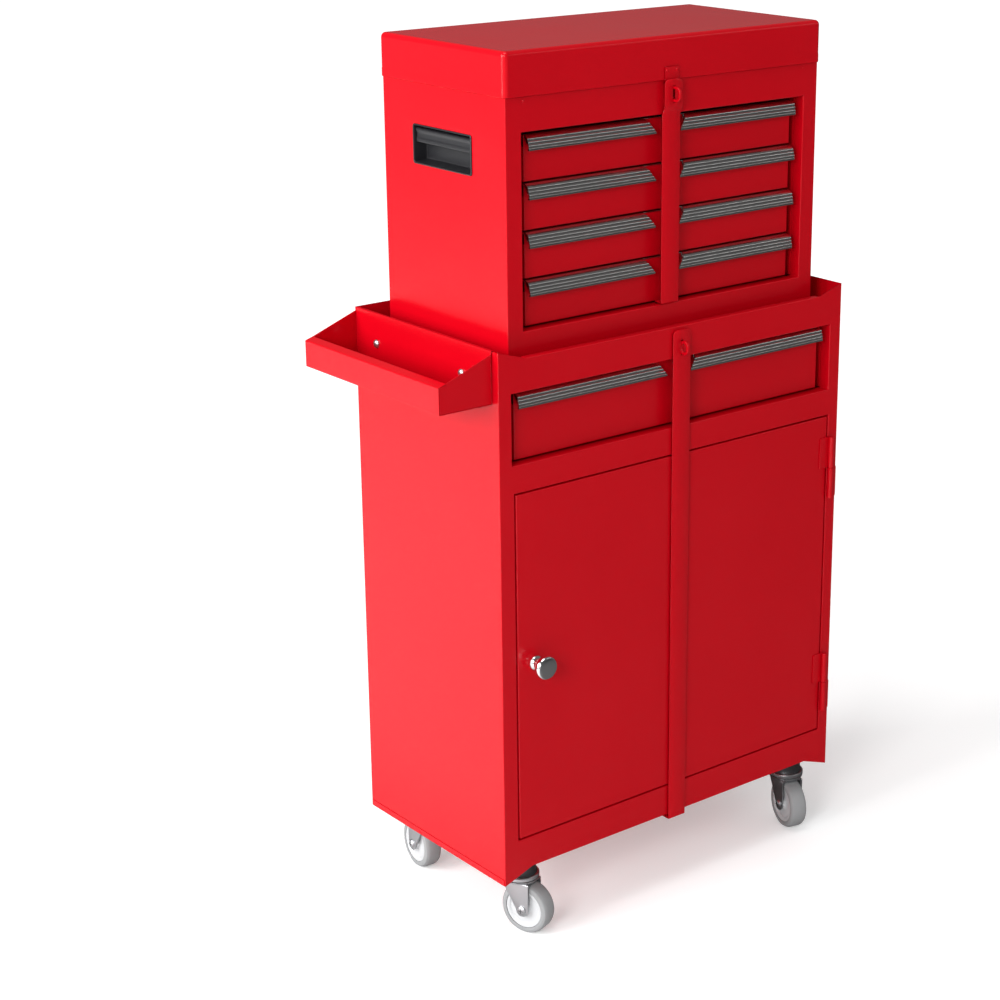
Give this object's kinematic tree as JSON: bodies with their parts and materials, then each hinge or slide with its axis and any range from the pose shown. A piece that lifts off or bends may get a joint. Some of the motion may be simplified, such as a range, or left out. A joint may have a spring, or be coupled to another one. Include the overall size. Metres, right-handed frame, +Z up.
{
  "type": "rolling tool chest",
  "caption": "Rolling steel tool cabinet with a cupboard, a wide drawer and a side tray, under a lift-off chest of drawers with a hinged lid, lock bars and swivel casters.",
  "frame": {"origin": "on the floor, at the middle of the bounding box in plan (side tray and door knob included)", "axes": "+X to the right seen from the front, +Y from the front to the back, +Z up"},
  "size_m": [0.586, 0.296, 1.026],
  "materials": {
    "red_paint": "gloss powder coat",
    "trim": "satin extrusion",
    "chrome": "polished",
    "zinc": "bright zinc plate",
    "black_plastic": "satin",
    "hub": "satin",
    "tyre": "matte grey rubber"
  },
  "bodies": {
    "cabinet": {"cabinet_front_frame": "red_paint", "cabinet_shell": "red_paint", "cabinet_floor": "red_paint", "cabinet_deck": "red_paint", "cabinet_divider": "red_paint", "cabinet_shelf": "red_paint", "magnet_catch": "black_plastic", "side_tray": "red_paint", "tray_bolt_front": "zinc", "tray_bolt_back": "zinc", "lower_staple": "red_paint", "door_hinge_lower": "red_paint", "door_hinge_upper": "red_paint", "base_slide_left": "red_paint", "base_slide_right": "red_paint", "caster_plate_front_left": "zinc", "caster_plate_front_right": "zinc", "caster_plate_back_left": "zinc", "caster_plate_back_right": "zinc"},
    "lower_lock_bar": {"lower_lock_bar": "red_paint"},
    "door": {"door": "red_paint", "door_knob": "chrome"},
    "base_drawer": {"base_drawer": "red_paint", "base_drawer_trim": "trim"},
    "chest": {"chest_front_frame": "red_paint", "chest_shell": "red_paint", "chest_floor": "red_paint", "till_floor": "red_paint", "handle_cup_left": "black_plastic", "handle_cup_right": "black_plastic", "chest_slide_left": "red_paint", "chest_slide_right": "red_paint", "upper_staple": "red_paint", "lid_hinge_chest_leaf": "zinc"},
    "upper_lock_bar": {"upper_lock_bar": "red_paint"},
    "lid": {"lid": "red_paint", "lid_tab": "red_paint", "lid_hinge_lid_leaf": "zinc"},
    "handle_grip_left": {"handle_grip_left": "black_plastic"},
    "handle_grip_right": {"handle_grip_right": "black_plastic"},
    "chest_drawer_1": {"chest_drawer_1": "red_paint", "chest_drawer_trim_1": "trim"},
    "chest_drawer_2": {"chest_drawer_2": "red_paint", "chest_drawer_trim_2": "trim"},
    "chest_drawer_3": {"chest_drawer_3": "red_paint", "chest_drawer_trim_3": "trim"},
    "chest_drawer_4": {"chest_drawer_4": "red_paint", "chest_drawer_trim_4": "trim"},
    "caster_fork_front_left": {"caster_fork_front_left": "zinc"},
    "caster_wheel_front_left": {"caster_hub_front_left": "hub", "caster_tyre_front_left": "tyre"},
    "caster_fork_front_right": {"caster_fork_front_right": "zinc"},
    "caster_wheel_front_right": {"caster_hub_front_right": "hub", "caster_tyre_front_right": "tyre"},
    "caster_fork_back_left": {"caster_fork_back_left": "zinc"},
    "caster_wheel_back_left": {"caster_hub_back_left": "hub", "caster_tyre_back_left": "tyre"},
    "caster_fork_back_right": {"caster_fork_back_right": "zinc"},
    "caster_wheel_back_right": {"caster_hub_back_right": "hub", "caster_tyre_back_right": "tyre"}
  },
  "joints": [
    {"name": "chest_lift", "type": "slide", "parent": "cabinet", "child": "chest", "axis": [0, 0, 1], "range_m": [0, 0.25]},
    {"name": "lid_hinge", "type": "hinge", "parent": "chest", "child": "lid", "pos_m": [0.035, 0.1273, 0.975], "axis": [-1, 0, 0], "range_deg": [0, 95]},
    {"name": "upper_lock_bar_off", "type": "slide", "parent": "chest", "child": "upper_lock_bar", "axis": [0, -1, 0], "range_m": [0, 0.22]},
    {"name": "chest_drawer_1_slide", "type": "slide", "parent": "chest", "child": "chest_drawer_1", "axis": [0, -1, 0], "range_m": [0, 0.165]},
    {"name": "chest_drawer_2_slide", "type": "slide", "parent": "chest", "child": "chest_drawer_2", "axis": [0, -1, 0], "range_m": [0, 0.165]},
    {"name": "chest_drawer_3_slide", "type": "slide", "parent": "chest", "child": "chest_drawer_3", "axis": [0, -1, 0], "range_m": [0, 0.165]},
    {"name": "chest_drawer_4_slide", "type": "slide", "parent": "chest", "child": "chest_drawer_4", "axis": [0, -1, 0], "range_m": [0, 0.165]},
    {"name": "lower_lock_bar_off", "type": "slide", "parent": "cabinet", "child": "lower_lock_bar", "axis": [0, -1, 0], "range_m": [0, 0.8]},
    {"name": "door_hinge", "type": "hinge", "parent": "cabinet", "child": "door", "pos_m": [0.2795, -0.128, 0.345], "axis": [0, 0, 1], "range_deg": [0, 100]},
    {"name": "base_drawer_slide", "type": "slide", "parent": "cabinet", "child": "base_drawer", "axis": [0, -1, 0], "range_m": [0, 0.2]},
    {"name": "handle_grip_left_hinge", "type": "hinge", "parent": "chest", "child": "handle_grip_left", "pos_m": [-0.1885, 0.011, 0.9257], "axis": [0, 1, 0], "range_deg": [0, 80]},
    {"name": "handle_grip_right_hinge", "type": "hinge", "parent": "chest", "child": "handle_grip_right", "pos_m": [0.2585, 0.011, 0.9257], "axis": [0, -1, 0], "range_deg": [0, 80]},
    {"name": "caster_swivel_front_left", "type": "hinge", "parent": "cabinet", "child": "caster_fork_front_left", "pos_m": [-0.173, -0.088, 0.07], "axis": [0, 0, 1], "continuous": true},
    {"name": "caster_spin_front_left", "type": "hinge", "parent": "caster_fork_front_left", "child": "caster_wheel_front_left", "pos_m": [-0.16958, -0.0974, 0.0316], "axis": [0.9397, 0.342, 0], "continuous": true},
    {"name": "caster_swivel_front_right", "type": "hinge", "parent": "cabinet", "child": "caster_fork_front_right", "pos_m": [0.257, -0.088, 0.07], "axis": [0, 0, 1], "continuous": true},
    {"name": "caster_spin_front_right", "type": "hinge", "parent": "caster_fork_front_right", "child": "caster_wheel_front_right", "pos_m": [0.25424, -0.09761, 0.0316], "axis": [0.9613, -0.2756, 0], "continuous": true},
    {"name": "caster_swivel_back_left", "type": "hinge", "parent": "cabinet", "child": "caster_fork_back_left", "pos_m": [-0.173, 0.105, 0.07], "axis": [0, 0, 1], "continuous": true},
    {"name": "caster_spin_back_left", "type": "hinge", "parent": "caster_fork_back_left", "child": "caster_wheel_back_left", "pos_m": [-0.17195, 0.11495, 0.0316], "axis": [-0.9945, 0.1045, 0], "continuous": true},
    {"name": "caster_swivel_back_right", "type": "hinge", "parent": "cabinet", "child": "caster_fork_back_right", "pos_m": [0.257, 0.105, 0.07], "axis": [0, 0, 1], "continuous": true},
    {"name": "caster_spin_back_right", "type": "hinge", "parent": "caster_fork_back_right", "child": "caster_wheel_back_right", "pos_m": [0.25277, 0.11406, 0.0316], "axis": [-0.9063, -0.4226, 0], "continuous": true}
  ],
  "couplings": [
    {"joint": "chest_drawer_1_slide", "follows": "upper_lock_bar_off", "ratio": 0.75},
    {"joint": "chest_drawer_2_slide", "follows": "upper_lock_bar_off", "ratio": 0.75},
    {"joint": "chest_drawer_3_slide", "follows": "upper_lock_bar_off", "ratio": 0.75},
    {"joint": "chest_drawer_4_slide", "follows": "upper_lock_bar_off", "ratio": 0.75},
    {"joint": "door_hinge", "follows": "lower_lock_bar_off", "rad_per_m": 2.17},
    {"joint": "base_drawer_slide", "follows": "lower_lock_bar_off", "ratio": 0.248}
  ]
}
